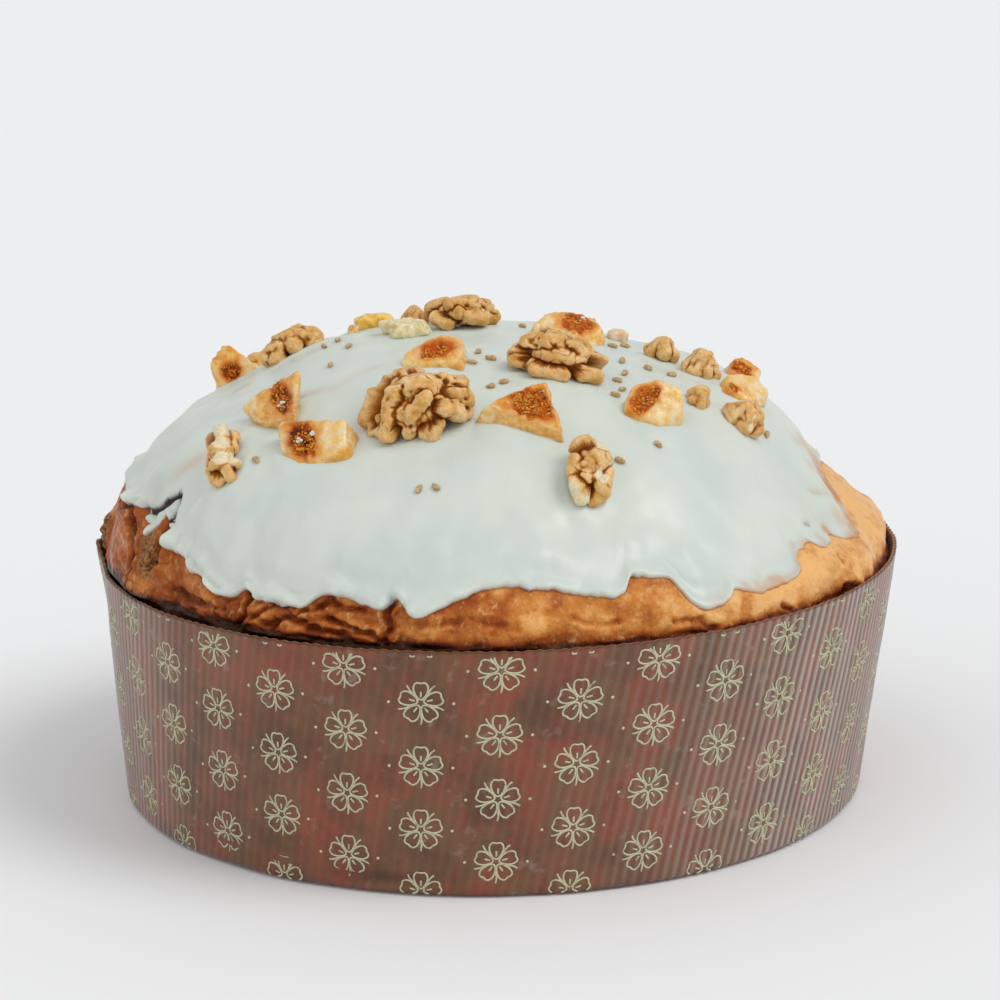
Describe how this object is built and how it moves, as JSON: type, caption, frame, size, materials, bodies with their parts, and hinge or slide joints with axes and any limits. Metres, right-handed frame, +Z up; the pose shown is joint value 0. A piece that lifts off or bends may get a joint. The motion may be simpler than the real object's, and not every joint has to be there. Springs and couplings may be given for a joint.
{
  "type": "panettone",
  "caption": "Low round iced panettone in a fluted paper baking case, topped with walnuts, figs, candied citron and anise seeds.",
  "frame": {"origin": "centre of the round foot of the paper case, on the surface that it stands on", "axes": "+Z up, through the loaf to its iced top; -Y is the front, where most of the toppings show"},
  "size_m": [0.2249, 0.2246, 0.1406],
  "materials": {
    "paper": "fluted brown baking paper with a pale print",
    "crust": "glossy browned crust",
    "icing": "satin white sugar icing",
    "fig": "moist candied fig with a seedy red heart",
    "walnut": "dry wrinkled kernel skin",
    "citron": "clear yellow candied peel",
    "almond": "pale blanched nut"
  },
  "bodies": {
    "root": {"paper_case": "paper", "loaf": "crust", "icing": "icing", "fig_front": "fig", "fig_front_left": "fig", "fig_left": "fig", "fig_far_left": "fig", "fig_middle": "fig", "fig_front_right": "fig", "fig_right": "fig", "fig_far_right": "fig", "fig_top": "fig", "walnut_half": "walnut", "walnut_left": "walnut", "walnut_far_left": "walnut", "walnut_middle": "walnut", "walnut_front": "walnut", "walnut_top": "walnut", "walnut_top_left": "walnut", "walnut_right_rear": "walnut", "walnut_right_middle": "walnut", "walnut_right_front": "walnut", "walnut_right_small": "walnut", "citron_yellow": "citron", "citron_pale": "citron", "almond_top": "almond", "walnut_crumb_top": "walnut", "walnut_crumb_left": "walnut", "fig_back": "fig", "fig_back_left": "fig", "fig_back_right": "fig", "fig_far_back": "fig", "walnut_back": "walnut", "walnut_back_right": "walnut", "walnut_back_left": "walnut", "citron_back": "citron"}
  },
  "joints": []
}
